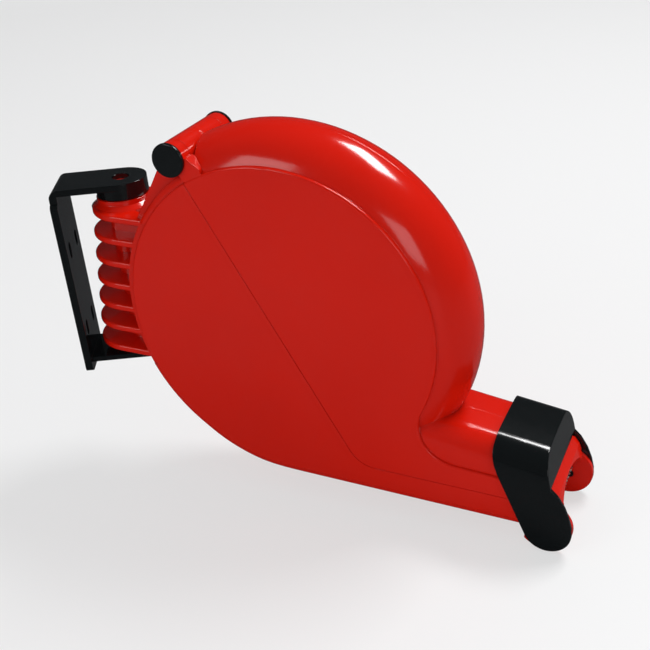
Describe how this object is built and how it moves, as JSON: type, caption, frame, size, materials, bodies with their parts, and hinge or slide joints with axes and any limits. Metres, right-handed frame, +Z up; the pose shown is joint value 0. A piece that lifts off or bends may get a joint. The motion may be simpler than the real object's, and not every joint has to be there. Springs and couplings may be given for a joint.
{
  "type": "ticket dispenser",
  "caption": "Wall-mounted queue ticket dispenser: round two-part housing on a swivelling bracket, with a hinged cover, a ticket roll and a pivoting latch collar over the mouth.",
  "frame": {"origin": "centre of the wall plate's back face", "axes": "+X straight out from the wall, +Z up along the swivel axis, +Y to complete the right-handed frame (to the right as seen from the room)"},
  "size_m": [0.298, 0.1735, 0.2273],
  "materials": {
    "red_plastic": "glossy moulded, signal red",
    "black_plastic": "glossy moulded, near black",
    "grey_plastic": "satin moulded grey",
    "white_nylon": "natural nylon",
    "steel": "turned steel",
    "blade_steel": "spring steel strip",
    "rubber": "soft",
    "paper": "uncoated ticket paper",
    "cardboard": "wound board"
  },
  "bodies": {
    "bracket": {"wall_bracket": "black_plastic"},
    "base": {"base_shell": "red_plastic", "swivel_washers": "white_nylon", "roll_axle": "steel", "guide_roller_axle": "steel", "guide_chute": "grey_plastic", "chute_screws": "steel", "tear_blade": "blade_steel", "ticket_strip": "paper"},
    "cover": {"cover_shell": "red_plastic", "hinge_pin": "steel", "hinge_cap_near": "black_plastic", "hinge_cap_far": "black_plastic", "spring_mount": "grey_plastic", "hold_down_spring": "blade_steel", "brake_pad": "rubber"},
    "latch": {"latch_collar": "black_plastic", "latch_pin_near": "black_plastic", "latch_pin_far": "black_plastic"},
    "roll": {"ticket_roll": "paper", "roll_core": "cardboard", "roll_hub": "grey_plastic"},
    "feed_roller": {"guide_roller": "grey_plastic"}
  },
  "joints": [
    {"name": "bracket_swivel", "type": "hinge", "parent": "bracket", "child": "base", "pos_m": [0.04, 0, 0], "axis": [0, 0, 1], "range_deg": [-64, 116]},
    {"name": "cover_hinge", "type": "hinge", "parent": "base", "child": "cover", "pos_m": [0.08863, -0.02372, 0.08222], "axis": [-0.4384, -0.8988, 0], "range_deg": [0, 95]},
    {"name": "latch_swing", "type": "hinge", "parent": "cover", "child": "latch", "pos_m": [0.27303, -0.11365, -0.11541], "axis": [0.4384, 0.8988, 0], "range_deg": [0, 110]},
    {"name": "roll_spin", "type": "hinge", "parent": "base", "child": "roll", "pos_m": [0.12789, -0.04287, -0.01977], "axis": [0.4384, 0.8988, 0], "continuous": true},
    {"name": "guide_roller_spin", "type": "hinge", "parent": "base", "child": "feed_roller", "pos_m": [0.18929, -0.07281, -0.08799], "axis": [0.4384, 0.8988, 0], "continuous": true}
  ]
}
